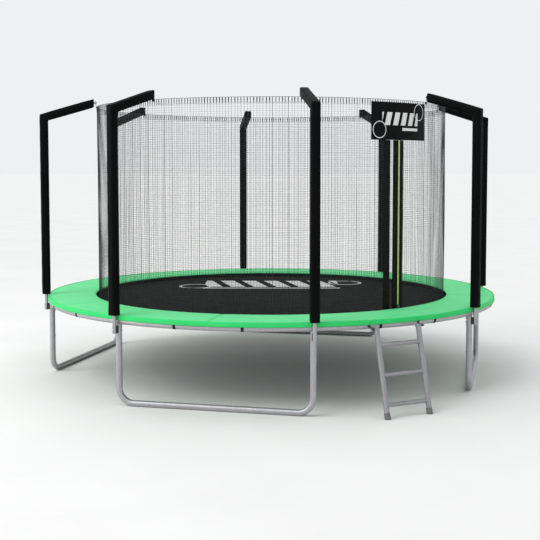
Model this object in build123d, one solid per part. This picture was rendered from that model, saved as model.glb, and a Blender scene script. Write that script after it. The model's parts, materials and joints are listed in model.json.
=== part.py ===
from build123d import *
import os
from math import atan2, cos, degrees, hypot, radians, sin, sqrt

# A round garden trampoline with a safety net, in millimetres.
# Origin: centre of the circle on the ground. +Z is up. Angles are measured from +X towards +Y.

# --- driving dimensions -------------------------------------------------------
RAIL_RADIUS = 2150          # centreline of the ring tube
RAIL_Z = 712                # height of that centreline
TUBE_OD = 52                # ring and leg tube
TUBE_ID = TUBE_OD - 3.6
SECTORS = 8                 # ring rails, leg uprights and net poles
SECTOR = 360 / SECTORS
POST_ANGLES = [SECTOR * (i + 0.5) for i in range(SECTORS)]
LEG_COUNT = 4

MAT_Z = RAIL_Z + 11.5       # middle of the mat's thickness, a little above the tube's middle
MAT_THICKNESS = 3
MAT_RADIUS = 1890
WEBBING_INNER = MAT_RADIUS - 35
WEBBING_OUTER = MAT_RADIUS + 6
RING_BASE = MAT_RADIUS + 12         # radius of the V-ring's straight side
TAB_OUTER = MAT_RADIUS + 19
RING_APEX = MAT_RADIUS + 37         # radius of the V-ring's point
COIL_START = MAT_RADIUS + 60        # radius where the close-wound coil starts
COIL_END = RAIL_RADIUS - 47.5
HOOK_END = RAIL_RADIUS - 10         # the spring's hook turns down here, inside the ring tube
SPRINGS = 96
SPRING_PITCH = 360 / SPRINGS
SPRING_ANGLES = [SPRING_PITCH * (i + 0.5) for i in range(SPRINGS)]
SPRING_HOLE = 8
RING_WIRE = 4               # V-ring wire
HOOK_WIRE = 3.4             # spring wire
COIL_OD = 23

PAD_INNER = 1727
PAD_OUTER = 2178
PAD_BOTTOM = RAIL_Z + 33
PAD_THICKNESS = 18
PAD_TOP = PAD_BOTTOM + PAD_THICKNESS
SKIRT_GAP = 0.3
SKIRT_OUTER = 2186
SKIRT_DROP = 39
SKIRT_PIECES = 16
STRAP_WIDTH = 24
STRAP_THICKNESS = 1.5
STRAP_ANGLES = [SECTOR * i + side for i in range(SECTORS) for side in (7.5, 37.5)]

BASE_BEND = 125             # bend radius of a leg base's corners
BASE_TOP = 320              # joint between a leg base and its extensions
SPIGOT_OD = TUBE_ID - 0.8   # reduced ends that slide into the next tube
SPIGOT_ID = SPIGOT_OD - 3.2
SPIGOT_LENGTH = 80
SOCKET_LENGTH = 100
BASE_SCREW_Z = BASE_TOP + SPIGOT_LENGTH / 2
SOCKET_SCREW_Z = RAIL_Z - TUBE_OD / 2 - 84
SCREW_OD = 6

POLE_RADIUS = 2203          # the net poles stand just outside the pad's sewn edge
POLE_OD = 32
POLE_ID = 29
POLE_BOTTOM = RAIL_Z - 100
POLE_JOINT = 1465
POLE_BEND_Z = 2462
POLE_BEND_RADIUS = 60
ARM_TIP_RADIUS = 1730
ARM_TIP_Z = 2602
FOAM_SIZE = 75
FOAM_CORNER = 9
FOAM_BORE = 34
FOAM_BOTTOM = PAD_TOP + 2
POLE_BOLT_HEIGHTS = (RAIL_Z - 82, RAIL_Z - 50)

NET_RADIUS = 1700
NET_THICKNESS = 1.5
NET_BOTTOM = MAT_Z + 4.5
NET_TOP = 2567
NET_PIECES = 16
HEM_HEIGHT = 25
HEM_THICKNESS = 2.2

ZIP_ANGLE = -36.1
ZIP_TAPE_ANGLE = -36.4
ZIP_TAPE_WIDTH = 130
ZIP_TEETH_WIDTH = 28
EDGE_TAPE_ANGLE = -40.9
EDGE_TAPE_WIDTH = 74
BANNER_ANGLE = -35.2
BANNER_WIDTH = 690
BANNER_HEIGHT = 322
BANNER_TOP = NET_TOP - 26

LADDER_ANGLE = -49
LADDER_HALF_WIDTH = 203
LADDER_RAIL_OD = 44
LADDER_RAIL_ID = 41
LADDER_PIVOT_X = 2215       # distance of the pivot bolts from the centre, along the ladder's direction
LADDER_PIVOT_Z = RAIL_Z - 17
LADDER_FOOT_X = 2385
RUNG_HEIGHTS = (106, 338, 570)
RUNG_OD = 35
RUNG_ID = 32
HOOK_THICKNESS = 2.5
HOOK_WIDTH = 22
HOOK_OFFSET = LADDER_HALF_WIDTH + LADDER_RAIL_OD / 2 + HOOK_WIDTH / 2 + 4
BOLT_OD = 8

FIT = 0.1                   # radial clearance of a running fit
HOLE_PLAY = 0.6             # a bolt hole is this much wider than its bolt


# --- small helpers ------------------------------------------------------------
def save(name, *solids):
    """Write one node: a single solid, or a group of separate solids."""
    group = list(solids)
    shape = group[0] if len(group) == 1 else Compound(group)
    export_step(shape, f"parts/{name}.step")


def at(shape, angle):
    """A copy of a shape modelled along +X, turned about Z."""
    return Rot(0, 0, angle) * shape


def around(shape, angles):
    """One copy at each angle."""
    return [at(shape, angle) for angle in angles]


def ring_piece(r_in, r_out, z_low, z_high, start, sweep_angle, corner=0):
    """An arc with a rectangular section, from the start angle."""
    size = (r_out - r_in, z_high - z_low)
    if corner:
        section = RectangleRounded(*size, corner)
    else:
        section = Rectangle(*size)
    middle = ((r_in + r_out) / 2, 0, (z_low + z_high) / 2)
    face = Plane(middle, x_dir=(1, 0, 0), z_dir=(0, -1, 0)) * section
    return at(revolve(face, axis=Axis.Z, revolution_arc=sweep_angle), start)


def ring_pieces(r_in, r_out, z_low, z_high, count, gap=0.4, corner=0):
    """A full ring cut into equal arcs with a small gap between neighbours."""
    pitch = 360 / count
    gap_angle = degrees(gap / r_out)
    arc = ring_piece(r_in, r_out, z_low, z_high, gap_angle / 2, pitch - gap_angle, corner)
    return around(arc, [pitch * i for i in range(count)])


def bar(start, end, diameter):
    """A round bar between two points."""
    start, end = Vector(*start), Vector(*end)
    along = end - start
    return extrude(Plane(start, z_dir=along) * Circle(diameter / 2), along.length)


def tube(start, end, outer, inner):
    """A straight tube between two points."""
    start, end = Vector(*start), Vector(*end)
    along = end - start
    section = Circle(outer / 2) - Circle(inner / 2)
    return extrude(Plane(start, z_dir=along) * section, along.length)


def torus_arc(radius, z, outer, inner, sweep_angle):
    """A length of tube bent round the Z axis, from angle 0."""
    section = Circle(outer / 2)
    if inner:
        section -= Circle(inner / 2)
    face = Plane((radius, 0, z), x_dir=(1, 0, 0), z_dir=(0, -1, 0)) * section
    return revolve(face, axis=Axis.Z, revolution_arc=sweep_angle)


# --- frame --------------------------------------------------------------------
def frame_rail():
    """One eighth of the ring: a bent tube, a reduced end and a row of spring holes."""
    gap = degrees(1 / RAIL_RADIUS)
    reach = degrees(60 / RAIL_RADIUS)
    neck = degrees(4 / RAIL_RADIUS)
    main = torus_arc(RAIL_RADIUS, RAIL_Z, TUBE_OD, TUBE_ID, SECTOR - gap)
    collar = torus_arc(RAIL_RADIUS, RAIL_Z, TUBE_ID + 1, SPIGOT_ID, neck)
    spigot = torus_arc(RAIL_RADIUS, RAIL_Z, SPIGOT_OD, SPIGOT_ID, neck + reach)
    rail = main + at(collar, SECTOR - gap - neck) + at(spigot, SECTOR - gap - neck)
    hole = bar((RAIL_RADIUS - TUBE_OD, 0, MAT_Z), (HOOK_END, 0, MAT_Z), SPRING_HOLE)
    holes = [at(hole, a) for a in SPRING_ANGLES if a < SECTOR]
    return rail - holes


def leg_socket():
    """A stub welded under the ring, shaped to the tube that it is welded to."""
    low = RAIL_Z - TUBE_OD / 2 - SOCKET_LENGTH
    stub = tube((RAIL_RADIUS, 0, low), (RAIL_RADIUS, 0, RAIL_Z), SPIGOT_OD - 0.6, SPIGOT_ID - 0.6)
    rail = at(torus_arc(RAIL_RADIUS, RAIL_Z, TUBE_OD, 0, 4), -2)
    stub = (stub - rail).solids().sort_by(Axis.Z)[0]
    return stub - screw_hole(SOCKET_SCREW_Z) - pole_bolt_holes()


def screw_hole(z):
    """The hole for a screw that enters a leg from inside the circle."""
    return bar((RAIL_RADIUS - TUBE_OD, 0, z), (RAIL_RADIUS, 0, z), SCREW_OD + HOLE_PLAY)


def pole_bolt_holes():
    """The holes for the bolts that go through a pole and the leg behind it."""
    start, end = RAIL_RADIUS - TUBE_OD, POLE_RADIUS + POLE_OD
    return [bar((start, 0, z), (end, 0, z), BOLT_OD + HOLE_PLAY) for z in POLE_BOLT_HEIGHTS]


def leg_screw(z):
    """A flanged self-drilling screw through an upright and the tube inside it."""
    face = RAIL_RADIUS - TUBE_OD / 2 - 0.2
    shank = bar((face - 1, 0, z), (face + 12, 0, z), SCREW_OD)
    flange = bar((face - 1.5, 0, z), (face, 0, z), 13)
    head = extrude(Plane((face - 6, 0, z), z_dir=(1, 0, 0)) * RegularPolygon(5, 6), 5)
    return shank + flange + head


def leg_extension():
    """A straight upright between the leg base and the ring."""
    upright = tube(
        (RAIL_RADIUS, 0, BASE_TOP),
        (RAIL_RADIUS, 0, RAIL_Z - TUBE_OD / 2 - 3),
        TUBE_OD,
        TUBE_ID,
    )
    return upright - screw_hole(BASE_SCREW_Z) - screw_hole(SOCKET_SCREW_Z) - pole_bolt_holes()


def leg_base():
    """A U-shaped tube that lies on the ground and joins two uprights."""
    half = RAIL_RADIUS * sin(radians(SECTOR / 2))
    x = RAIL_RADIUS * cos(radians(SECTOR / 2))
    ground = TUBE_OD / 2
    path = FilletPolyline(
        (x, -half, BASE_TOP - 2),
        (x, -half, ground),
        (x, half, ground),
        (x, half, BASE_TOP - 2),
        radius=BASE_BEND,
    )
    start = Plane((x, -half, BASE_TOP - 2), z_dir=(0, 0, -1))
    skin = sweep(start * Circle(TUBE_OD / 2), path=path)
    core = sweep(start * Circle(TUBE_ID / 2), path=path)
    base = skin - core
    for side, angle in ((-half, -SECTOR / 2), (half, SECTOR / 2)):
        foot = (x, side, BASE_TOP - 20)
        collar = tube(foot, (x, side, BASE_TOP - 8), TUBE_ID + 1, SPIGOT_ID)
        spigot = tube(foot, (x, side, BASE_TOP + SPIGOT_LENGTH), SPIGOT_OD, SPIGOT_ID)
        base += collar + spigot
        base -= at(screw_hole(BASE_SCREW_Z), angle)
    return base


# --- mat and springs ----------------------------------------------------------


def jumping_mat():
    """The woven disc."""
    return Pos(0, 0, MAT_Z) * Cylinder(MAT_RADIUS, MAT_THICKNESS)


def mat_webbing():
    """Strong tape folded over the edge of the mat."""
    width = WEBBING_OUTER - WEBBING_INNER
    outer = Rectangle(width, MAT_THICKNESS + 5)
    slot = Pos(-4, 0) * Rectangle(width, MAT_THICKNESS + 0.4)
    middle = ((WEBBING_OUTER + WEBBING_INNER) / 2, 0, MAT_Z)
    plane = Plane(middle, x_dir=(1, 0, 0), z_dir=(0, -1, 0))
    return revolve(plane * (outer - slot), axis=Axis.Z, revolution_arc=360)


def webbing_tab():
    """A sewn loop that holds one V-ring on the edge of the mat."""
    depth = TAB_OUTER - WEBBING_OUTER
    block = Pos(WEBBING_OUTER + depth / 2, 0, MAT_Z) * Box(depth, 20, 9)
    rounded = fillet(block.edges().filter_by(Axis.Y).group_by(Axis.X)[-1], 3.5)
    return rounded - bar((RING_BASE, -20, MAT_Z), (RING_BASE, 20, MAT_Z), RING_WIRE + 0.6)


def v_ring():
    """A triangle of wire between the mat and one spring."""
    corners = [(RING_BASE, -19, MAT_Z), (RING_BASE, 19, MAT_Z), (RING_APEX, 0, MAT_Z)]
    wire = Part()
    for i, corner in enumerate(corners):
        wire += bar(corner, corners[(i + 1) % 3], RING_WIRE)
        wire += Pos(*corner) * Sphere(RING_WIRE / 2)
    return wire


def spring():
    """A close-wound coil drawn as a sleeve with coned ends, with its two wire hooks."""
    r = COIL_OD / 2
    wall = r - HOOK_WIRE
    profile = Polyline(
        (COIL_START, HOOK_WIRE / 2),
        (COIL_START + 12, r),
        (COIL_END - 12, r),
        (COIL_END, HOOK_WIRE / 2),
        (COIL_END - 4, 0.6),
        (COIL_END - 14, wall),
        (COIL_START + 14, wall),
        (COIL_START + 4, 0.6),
        close=True,
    )
    face = Plane.XZ * make_face(profile)
    sleeve = Pos(0, 0, MAT_Z) * revolve(face, axis=Axis.X, revolution_arc=360)
    frame_hook = bar((COIL_END - 3, 0, MAT_Z), (HOOK_END, 0, MAT_Z), HOOK_WIRE)
    frame_hook += Pos(HOOK_END, 0, MAT_Z) * Sphere(HOOK_WIRE / 2)
    frame_hook += bar((HOOK_END, 0, MAT_Z), (HOOK_END, 0, MAT_Z - 10), HOOK_WIRE)
    return sleeve + frame_hook + mat_hook()


def mat_hook():
    """The hook that goes round the V-ring's point."""
    bend = (RING_WIRE + HOOK_WIRE) / 2 + 1.3
    inside = RING_APEX - 3.5
    shoulder = (COIL_START - 8, 0, MAT_Z + bend)
    top = (inside, 0, MAT_Z + bend)
    hook = bar((COIL_START + 3, 0, MAT_Z), shoulder, HOOK_WIRE)
    hook += Pos(*shoulder) * Sphere(HOOK_WIRE / 2)
    hook += bar(shoulder, top, HOOK_WIRE)
    face = Plane(top, x_dir=(0, 0, 1), z_dir=(1, 0, 0)) * Circle(HOOK_WIRE / 2)
    centre = Axis((inside, 0, MAT_Z), (0, 1, 0))
    return hook + revolve(face, axis=centre, revolution_arc=-180)


# --- safety pad ---------------------------------------------------------------
def safety_pad():
    """Eight padded panels that cover the springs and the ring."""
    pitch_gap = degrees(0.4 / PAD_OUTER)
    panel = ring_piece(
        PAD_INNER, PAD_OUTER, PAD_BOTTOM, PAD_TOP, pitch_gap / 2, SECTOR - pitch_gap, corner=5
    )
    return around(panel, [SECTOR * i for i in range(SECTORS)])


def pad_skirt():
    """The sewn edge that hangs down round the ring."""
    inner = PAD_OUTER + SKIRT_GAP
    low = PAD_TOP - SKIRT_DROP
    return ring_pieces(inner, SKIRT_OUTER, low, PAD_TOP, SKIRT_PIECES, corner=2)


def pad_strap():
    """An elastic strap that goes round the ring tube and holds the pad down."""
    inner = TUBE_OD / 2 + 0.4
    section = Circle(inner + STRAP_THICKNESS) - Circle(inner)
    plane = Plane((RAIL_RADIUS, -STRAP_WIDTH / 2, RAIL_Z), x_dir=(1, 0, 0), z_dir=(0, 1, 0))
    return extrude(plane * section, STRAP_WIDTH)


# --- net poles ----------------------------------------------------------------
ARM_ANGLE = degrees(atan2(ARM_TIP_Z - POLE_BEND_Z, POLE_RADIUS - ARM_TIP_RADIUS))
ARM_DIR = Vector(-cos(radians(ARM_ANGLE)), 0, sin(radians(ARM_ANGLE)))
BEND = Vector(POLE_RADIUS, 0, POLE_BEND_Z)


def along_arm(distance):
    """A point on the arm's centreline, measured from the bend."""
    return BEND + ARM_DIR * distance


ARM_LENGTH = hypot(ARM_TIP_Z - POLE_BEND_Z, POLE_RADIUS - ARM_TIP_RADIUS)
ARM_TUBE_LENGTH = ARM_LENGTH - 22
EYE_DISTANCE = ARM_TUBE_LENGTH + 38


def lower_pole():
    """The straight lower half of a pole, with a reduced end."""
    x = POLE_RADIUS
    pole = tube((x, 0, POLE_BOTTOM), (x, 0, POLE_JOINT - 1), POLE_OD, POLE_ID)
    collar = tube((x, 0, POLE_JOINT - 12), (x, 0, POLE_JOINT - 4), POLE_ID + 1, POLE_ID - 4)
    spigot = tube((x, 0, POLE_JOINT - 12), (x, 0, POLE_JOINT + 80), POLE_ID - 0.8, POLE_ID - 4)
    return pole + collar + spigot - pole_bolt_holes()


def bent_rod(diameter, bottom, arm_length):
    """A round rod up the pole, round the bend and along the arm."""
    path = FilletPolyline(
        (POLE_RADIUS, 0, bottom), BEND, along_arm(arm_length), radius=POLE_BEND_RADIUS
    )
    start = Plane((POLE_RADIUS, 0, bottom), z_dir=(0, 0, 1))
    return sweep(start * Circle(diameter / 2), path=path)


def upper_pole():
    """The upper half of a pole, bent inwards at the top."""
    outside = bent_rod(POLE_OD, POLE_JOINT, ARM_TUBE_LENGTH)
    inside = bent_rod(POLE_ID, POLE_JOINT, ARM_TUBE_LENGTH)
    return outside - inside


def foam_sleeve():
    """A square foam cover with a mitred corner; its end stands upright above the net."""
    size = RectangleRounded(FOAM_SIZE, FOAM_SIZE, FOAM_CORNER)
    upright = extrude(Pos(POLE_RADIUS, 0, FOAM_BOTTOM) * size, POLE_BEND_Z - FOAM_BOTTOM + 100)
    arm_start = Plane(along_arm(-100), x_dir=(0, 1, 0), z_dir=ARM_DIR)
    arm = extrude(arm_start * size, ARM_LENGTH + 200)
    mitre = Plane(BEND, x_dir=(0, 1, 0), z_dir=ARM_DIR + Vector(0, 0, 1))
    end = Plane((ARM_TIP_RADIUS, 0, 0), x_dir=(0, 1, 0), z_dir=(1, 0, 0))
    upright = split(upright, bisect_by=mitre, keep=Keep.BOTTOM)
    arm = split(arm, bisect_by=mitre, keep=Keep.TOP)
    arm = split(arm, bisect_by=end, keep=Keep.TOP)
    bore = bent_rod(FOAM_BORE, FOAM_BOTTOM - 10, ARM_LENGTH + 60)
    return upright + arm - bore


def pole_cap():
    """A plastic plug in the end of the arm, with an eye that holds the net."""
    mouth = along_arm(ARM_TUBE_LENGTH)
    plug = bar(along_arm(ARM_TUBE_LENGTH - 25), mouth, POLE_ID - 0.6)
    rim = bar(along_arm(ARM_TUBE_LENGTH + 0.3), along_arm(ARM_TUBE_LENGTH + 5), POLE_OD)
    neck = bar(mouth, along_arm(ARM_TUBE_LENGTH + 32), 10)
    eye_centre = along_arm(EYE_DISTANCE)
    eye_plane = Plane(eye_centre - Vector(0, 4, 0), x_dir=(1, 0, 0), z_dir=(0, 1, 0))
    eye = extrude(eye_plane * Circle(12), 8)
    hole = extrude(eye_plane * Circle(6.5), 8)
    return plug + neck + rim + eye - hole


# --- pole fastenings ----------------------------------------------------------
def pole_spacer():
    """A saddle block between the leg and the pole."""
    middle = ((RAIL_RADIUS + POLE_RADIUS) / 2, 0, sum(POLE_BOLT_HEIGHTS) / 2)
    block = Pos(*middle) * Box(POLE_RADIUS - RAIL_RADIUS, 34, 58)
    leg = Pos(RAIL_RADIUS, 0, middle[2]) * Cylinder(TUBE_OD / 2 + 0.2, 80)
    pole = Pos(POLE_RADIUS, 0, middle[2]) * Cylinder(POLE_OD / 2 + 0.2, 80)
    saddle = (block - leg - pole).solids().sort_by(SortBy.VOLUME)[-1]
    return saddle - pole_bolt_holes()


NUT_SEAT = RAIL_RADIUS - TUBE_OD / 2 - 0.2


def pole_bolt(z):
    """A round-headed bolt through the pole, the spacer and the leg."""
    face = POLE_RADIUS + POLE_OD / 2 + 0.2
    shank = bar((NUT_SEAT - 12, 0, z), (face + 1, 0, z), BOLT_OD)
    head = bar((face, 0, z), (face + 5, 0, z), 17)
    head = fillet(head.edges().group_by(Axis.X)[-1], 2.5)
    return shank + head


def hex_nut(start, direction, bore, across_corners=15, height=6.5):
    """A hexagon nut whose seat is at start."""
    plane = Plane(start, z_dir=direction)
    section = RegularPolygon(across_corners / 2, 6) - Circle(bore / 2)
    return extrude(plane * section, height)


def pole_nut(z):
    """The nut of one pole bolt, on the inside of the leg."""
    return hex_nut((NUT_SEAT, 0, z), (-1, 0, 0), BOLT_OD + 2 * FIT)


# --- net ----------------------------------------------------------------------
NET_OUTER = NET_RADIUS + NET_THICKNESS / 2
NET_INNER = NET_RADIUS - NET_THICKNESS / 2
LAYER_GAP = 0.4             # between the net and the tapes sewn outside it


def enclosure_net():
    """The net as a thin wall, in arcs."""
    return ring_pieces(NET_INNER, NET_OUTER, NET_BOTTOM, NET_TOP, NET_PIECES)


def net_hem(low):
    """A tape sewn round the outside of the net."""
    inner = NET_OUTER + LAYER_GAP
    return ring_pieces(inner, inner + HEM_THICKNESS, low, low + HEM_HEIGHT, SECTORS)


HEM_OUTER = NET_OUTER + LAYER_GAP + HEM_THICKNESS


def net_hanger():
    """An elastic loop from the top hem through a pole cap's eye."""
    eye = along_arm(EYE_DISTANCE)
    hem_x = HEM_OUTER + 0.4
    hem_z = NET_TOP - HEM_HEIGHT / 2
    loop = bar((eye.X, -8, eye.Z), (eye.X, 8, eye.Z), 4)
    for side in (-8, 8):
        loop += bar((hem_x + 2.3, side, hem_z), (eye.X, side, eye.Z), 4)
        loop += Pos(eye.X, side, eye.Z) * Sphere(2)
    patch = Pos(hem_x + 1.5, 0, hem_z) * Box(3, 26, 20)
    return loop + patch


def net_bottom_strap():
    """An elastic tape from the bottom hem to the mat's edge, under the pad."""
    start = HEM_OUTER + 0.4
    length = WEBBING_INNER - 4 - start
    tape = Pos(start + length / 2, 0, NET_BOTTOM + 3.5) * Box(length, 16, 2)
    tab = Pos(start + 1, 0, NET_BOTTOM + 8) * Box(2, 16, 11)
    return tape + tab


def on_door(r_in, r_out, z_low, z_high, width, centre, corner=0):
    """A curved strip on the outside of the net, of a given width round the circle."""
    span = degrees(width / r_out)
    return ring_piece(r_in, r_out, z_low, z_high, centre - span / 2, span, corner)


TAPE_INNER = HEM_OUTER + LAYER_GAP
TAPE_OUTER = TAPE_INNER + 1.5
TEETH_OUTER = TAPE_OUTER + 2.4
BANNER_INNER = HEM_OUTER + LAYER_GAP
BANNER_BOTTOM = BANNER_TOP - BANNER_HEIGHT
ZIP_BOTTOM = NET_BOTTOM + 30
SLIDER_Z = ZIP_BOTTOM + 20


def zip_slider():
    """The runner on the zip's teeth."""
    x = TEETH_OUTER + 0.3
    body = Pos(x + 2.5, 0, SLIDER_Z) * Box(5, 18, 30)
    body = fillet(body.edges().filter_by(Axis.X), 5)
    bridge = Pos(x + 7, 0, SLIDER_Z + 4) * Box(6, 5, 16)
    slot = Pos(x + 6.4, 0, SLIDER_Z + 4) * Box(2.8, 6, 9)
    return body + bridge - slot


def zip_pull():
    """The tab that hangs from the runner."""
    x = TEETH_OUTER + 0.3 + 6.4
    tab = Pos(x + 5.2, 0, SLIDER_Z - 17.7) * Box(2.4, 12, 44)
    tab = fillet(tab.edges().filter_by(Axis.X), 5)
    cross_bar = Pos(x, 0, SLIDER_Z + 3.2) * Box(2, 12, 2.2)
    window = Pos(x + 5.2, 0, SLIDER_Z - 30) * Box(4, 5, 9)
    pull = tab + cross_bar - window
    for side in (-4.6, 4.6):
        pull += Pos(x + 2.7, side, SLIDER_Z + 3.2) * Box(7.4, 2.8, 2.2)
    return pull


# --- ladder -------------------------------------------------------------------
RAIL_VECTOR = Vector(LADDER_FOOT_X - LADDER_PIVOT_X, 0, -LADDER_PIVOT_Z)
RAIL_UNIT = RAIL_VECTOR.normalized()


def on_ladder(height, side):
    """The point of a ladder rail's centreline at a height above the ground."""
    share = (LADDER_PIVOT_Z - height) / LADDER_PIVOT_Z
    return Vector(LADDER_PIVOT_X, side, LADDER_PIVOT_Z) + RAIL_VECTOR * share


def ladder_rail(side):
    """A round tube from the pivot bolt down to its foot."""
    top = on_ladder(LADDER_PIVOT_Z, side) - RAIL_UNIT * 12
    rail = tube(top, on_ladder(14, side), LADDER_RAIL_OD, LADDER_RAIL_ID)
    pivot = bar(
        (LADDER_PIVOT_X, side - 30, LADDER_PIVOT_Z),
        (LADDER_PIVOT_X, side + 30, LADDER_PIVOT_Z),
        BOLT_OD + 2 * FIT,
    )
    return rail - pivot


def ladder_rung(height):
    """A round rung, shaped at its ends to the rails."""
    left = on_ladder(height, -LADDER_HALF_WIDTH)
    right = on_ladder(height, LADDER_HALF_WIDTH)
    rung = tube(left, right, RUNG_OD, RUNG_ID)
    for side in (-LADDER_HALF_WIDTH, LADDER_HALF_WIDTH):
        rail = bar(on_ladder(height + 60, side), on_ladder(height - 60, side), LADDER_RAIL_OD)
        rung -= rail
    return rung.solids().sort_by(SortBy.VOLUME)[-1]


def ladder_foot(side):
    """A cap over the end of a rail, cut flat where it stands on the ground."""
    top = on_ladder(48, side)
    cap = bar(top, on_ladder(-40, side), LADDER_RAIL_OD + 7)
    socket = bar(top - RAIL_UNIT * 5, on_ladder(13, side), LADDER_RAIL_OD + 0.6)
    ground = Pos(LADDER_FOOT_X, side, -100) * Box(300, 200, 200)
    return cap - socket - ground


def ladder_hook(side):
    """A steel strap over the ring tube, with a rolled eye for the pivot bolt."""
    grip = TUBE_OD / 2 + 2.6
    x = sqrt(RAIL_RADIUS**2 - HOOK_OFFSET**2)
    z = RAIL_Z - 1.9
    inner, outer = grip, grip + HOOK_THICKNESS
    plane = Plane((0, side + HOOK_WIDTH / 2, 0), x_dir=(1, 0, 0), z_dir=(0, -1, 0))
    crown = Pos(x, z) * (Circle(outer) - Circle(inner))
    crown &= Pos(x, z + outer) * Rectangle(4 * outer, 2 * outer)
    lip = Pos(x - grip - HOOK_THICKNESS / 2, z - 8) * Rectangle(HOOK_THICKNESS, 16)
    drop = Pos(x + grip + HOOK_THICKNESS / 2, z - 4) * Rectangle(HOOK_THICKNESS, 8)
    shelf_start = x + grip
    shelf_z = z - 8 + HOOK_THICKNESS / 2
    shelf_end = LADDER_PIVOT_X - 4
    shelf = Pos((shelf_start + shelf_end) / 2, shelf_z) * Rectangle(
        shelf_end - shelf_start, HOOK_THICKNESS
    )
    eye_z = LADDER_PIVOT_Z
    eye = Pos(LADDER_PIVOT_X, eye_z) * Circle(10)
    bore = Pos(LADDER_PIVOT_X, eye_z) * Circle(BOLT_OD / 2 + FIT)
    section = crown + lip + drop + shelf + eye - bore
    return extrude(plane * section, HOOK_WIDTH)


def ladder_bolt(side):
    """The pivot bolt through a rail and the hook's eye beside it."""
    outward = 1 if side > 0 else -1
    inside = side - outward * (LADDER_RAIL_OD / 2 + 0.4)
    outside = outward * (HOOK_OFFSET + HOOK_WIDTH / 2)
    pivot = (LADDER_PIVOT_X, LADDER_PIVOT_Z)
    shank = bar((pivot[0], inside, pivot[1]), (pivot[0], outside + outward * 12, pivot[1]), BOLT_OD)
    head_start = (pivot[0], inside, pivot[1])
    head = extrude(Plane(head_start, z_dir=(0, -outward, 0)) * Circle(9), 4)
    return shank + head


def ladder_nut(side):
    """The nut on a pivot bolt."""
    outward = 1 if side > 0 else -1
    seat = outward * (HOOK_OFFSET + HOOK_WIDTH / 2 + 0.4)
    start = (LADDER_PIVOT_X, seat, LADDER_PIVOT_Z)
    return hex_nut(start, (0, outward, 0), BOLT_OD + 2 * FIT)


# --- write the nodes ----------------------------------------------------------
def write_frame():
    rail = frame_rail()
    for i in range(SECTORS):
        save(f"frame_rail_{i + 1}", at(rail, SECTOR * i))
    save("leg_sockets", *around(leg_socket(), POST_ANGLES))
    save("leg_extensions", *around(leg_extension(), POST_ANGLES))
    base = leg_base()
    for i in range(LEG_COUNT):
        save(f"leg_base_{i + 1}", at(base, 360 / LEG_COUNT * i))
    screws = around(leg_screw(BASE_SCREW_Z), POST_ANGLES)
    screws += around(leg_screw(SOCKET_SCREW_Z), POST_ANGLES)
    save("leg_screws", *screws)


def write_mat():
    save("jumping_mat", jumping_mat())
    save("mat_webbing", mat_webbing())
    save("webbing_tabs", *around(webbing_tab(), SPRING_ANGLES))
    save("v_rings", *around(v_ring(), SPRING_ANGLES))
    save("springs", *around(spring(), SPRING_ANGLES))


def write_pad():
    save("safety_pad", *safety_pad())
    save("pad_skirt", *pad_skirt())
    save("pad_straps", *around(pad_strap(), STRAP_ANGLES))


def write_poles():
    save("lower_poles", *around(lower_pole(), POST_ANGLES))
    save("upper_poles", *around(upper_pole(), POST_ANGLES))
    save("pole_caps", *around(pole_cap(), POST_ANGLES))
    sleeve = foam_sleeve()
    for i, angle in enumerate(POST_ANGLES):
        save(f"foam_sleeve_{i + 1}", at(sleeve, angle))
    save("pole_spacers", *around(pole_spacer(), POST_ANGLES))
    bolts = [at(pole_bolt(z), angle) for z in POLE_BOLT_HEIGHTS for angle in POST_ANGLES]
    save("pole_bolts", *bolts)
    nuts = [at(pole_nut(z), angle) for z in POLE_BOLT_HEIGHTS for angle in POST_ANGLES]
    save("pole_nuts", *nuts)


def write_net():
    save("enclosure_net", *enclosure_net())
    save("net_top_hem", *net_hem(NET_TOP - HEM_HEIGHT))
    save("net_bottom_hem", *net_hem(NET_BOTTOM))
    save("net_hangers", *around(net_hanger(), POST_ANGLES))
    strap_angles = [SPRING_PITCH * (4 * i + 2) for i in range(SPRINGS // 4)]
    save("net_bottom_straps", *around(net_bottom_strap(), strap_angles))
    tape = (TAPE_INNER, TAPE_OUTER, ZIP_BOTTOM, BANNER_BOTTOM - 1)
    teeth = (TAPE_OUTER + 0.2, TEETH_OUTER, ZIP_BOTTOM, BANNER_BOTTOM - 1)
    save("zip_tape", on_door(*tape, ZIP_TAPE_WIDTH, ZIP_TAPE_ANGLE))
    save("zip_teeth", on_door(*teeth, ZIP_TEETH_WIDTH, ZIP_ANGLE))
    save("door_edge_tape", on_door(*tape, EDGE_TAPE_WIDTH, EDGE_TAPE_ANGLE))
    save("zip_slider", at(zip_slider(), ZIP_ANGLE))
    save("zip_pull", at(zip_pull(), ZIP_ANGLE))
    banner = (BANNER_INNER, BANNER_INNER + 3, BANNER_BOTTOM, BANNER_TOP, BANNER_WIDTH, BANNER_ANGLE)
    save("door_banner", on_door(*banner, corner=1))


def write_ladder():
    sides = (-LADDER_HALF_WIDTH, LADDER_HALF_WIDTH)
    for name, side in zip(("left", "right"), sides):
        save(f"ladder_rail_{name}", at(ladder_rail(side), LADDER_ANGLE))
    for i, height in enumerate(RUNG_HEIGHTS):
        save(f"ladder_rung_{i + 1}", at(ladder_rung(height), LADDER_ANGLE))
    save("ladder_feet", *[at(ladder_foot(side), LADDER_ANGLE) for side in sides])
    hooks = [at(ladder_hook(side), LADDER_ANGLE) for side in (-HOOK_OFFSET, HOOK_OFFSET)]
    save("ladder_hooks", *hooks)
    save("ladder_bolts", *[at(ladder_bolt(side), LADDER_ANGLE) for side in sides])
    save("ladder_nuts", *[at(ladder_nut(side), LADDER_ANGLE) for side in sides])


os.makedirs("parts", exist_ok=True)
write_frame()
write_mat()
write_pad()
write_poles()
write_net()
write_ladder()
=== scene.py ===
import json
from math import cos, pi, radians, sin, sqrt

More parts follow.
